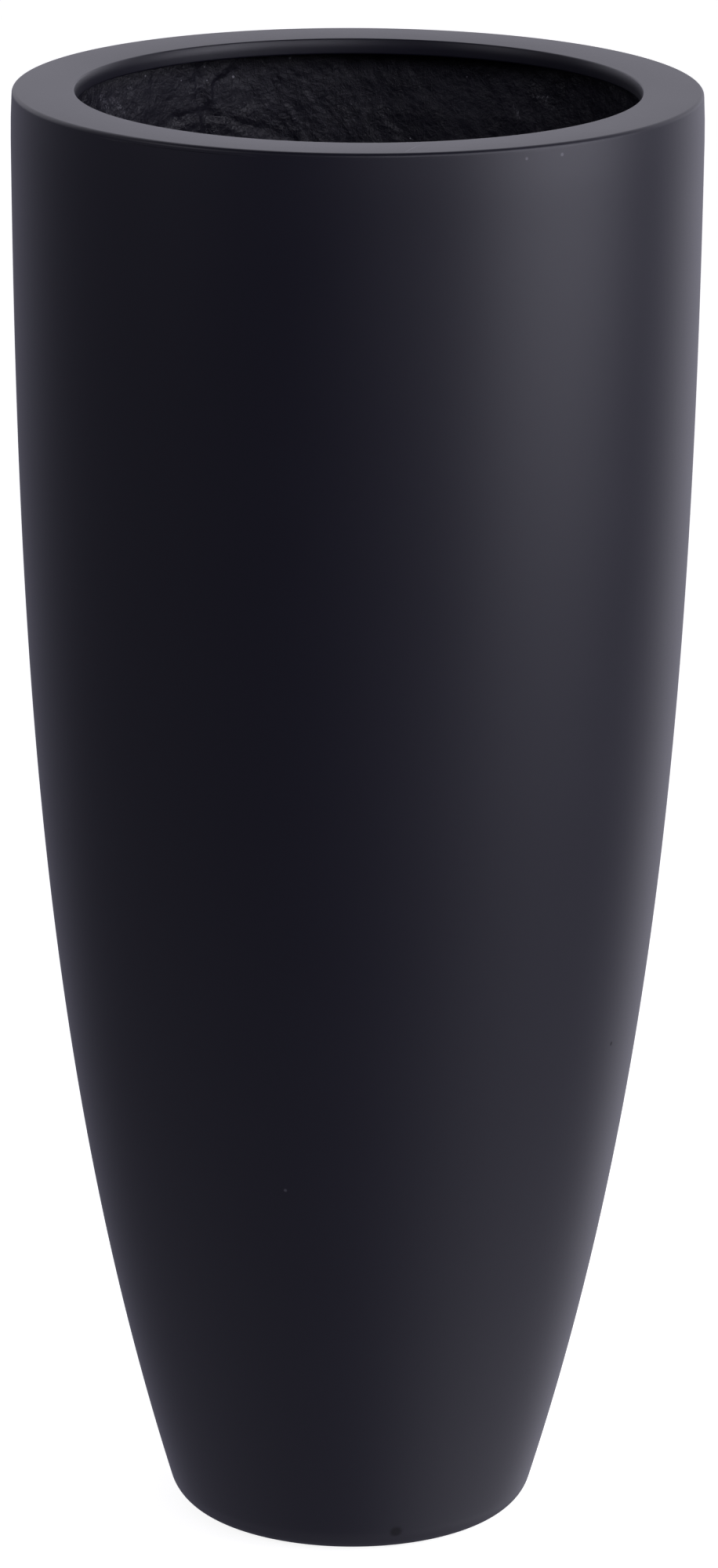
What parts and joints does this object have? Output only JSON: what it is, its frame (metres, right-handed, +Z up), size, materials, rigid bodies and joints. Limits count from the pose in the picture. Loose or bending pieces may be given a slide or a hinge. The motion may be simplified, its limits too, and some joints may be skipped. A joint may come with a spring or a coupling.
{
  "type": "tall planter",
  "caption": "Tall round planter, upright at the top and tapering to a small rounded foot, with a wide flat rim, a turned-down lip, a rough laid-up inside and a drain plug below.",
  "frame": {"origin": "centre of the foot, on the ground", "axes": "+Z up along the planter's axis; +X to the right and +Y away from the viewer of the picture"},
  "size_m": [0.37, 0.37, 0.798],
  "materials": {
    "satin_paint": "smooth satin charcoal paint with a faint blue cast, over a moulded glass-fibre skin",
    "bare_laminate": "rough hand-laid glass mat under dark resin, with lapped edges and ripples",
    "filled_resin": "dull filled resin, smoothed by a finger",
    "plug_rubber": "matte black moulded rubber"
  },
  "bodies": {
    "planter": {"body_shell": "satin_paint", "mat_lining": "bare_laminate", "rim_ring": "satin_paint", "rim_bond_fillet": "filled_resin", "base_disc": "bare_laminate", "base_bond_fillet": "filled_resin"},
    "plug": {"drain_plug": "plug_rubber"}
  },
  "joints": [
    {"name": "drain_plug_slide", "type": "slide", "parent": "planter", "child": "plug", "axis": [0, 0, -1], "range_m": [0, 0.022]}
  ]
}
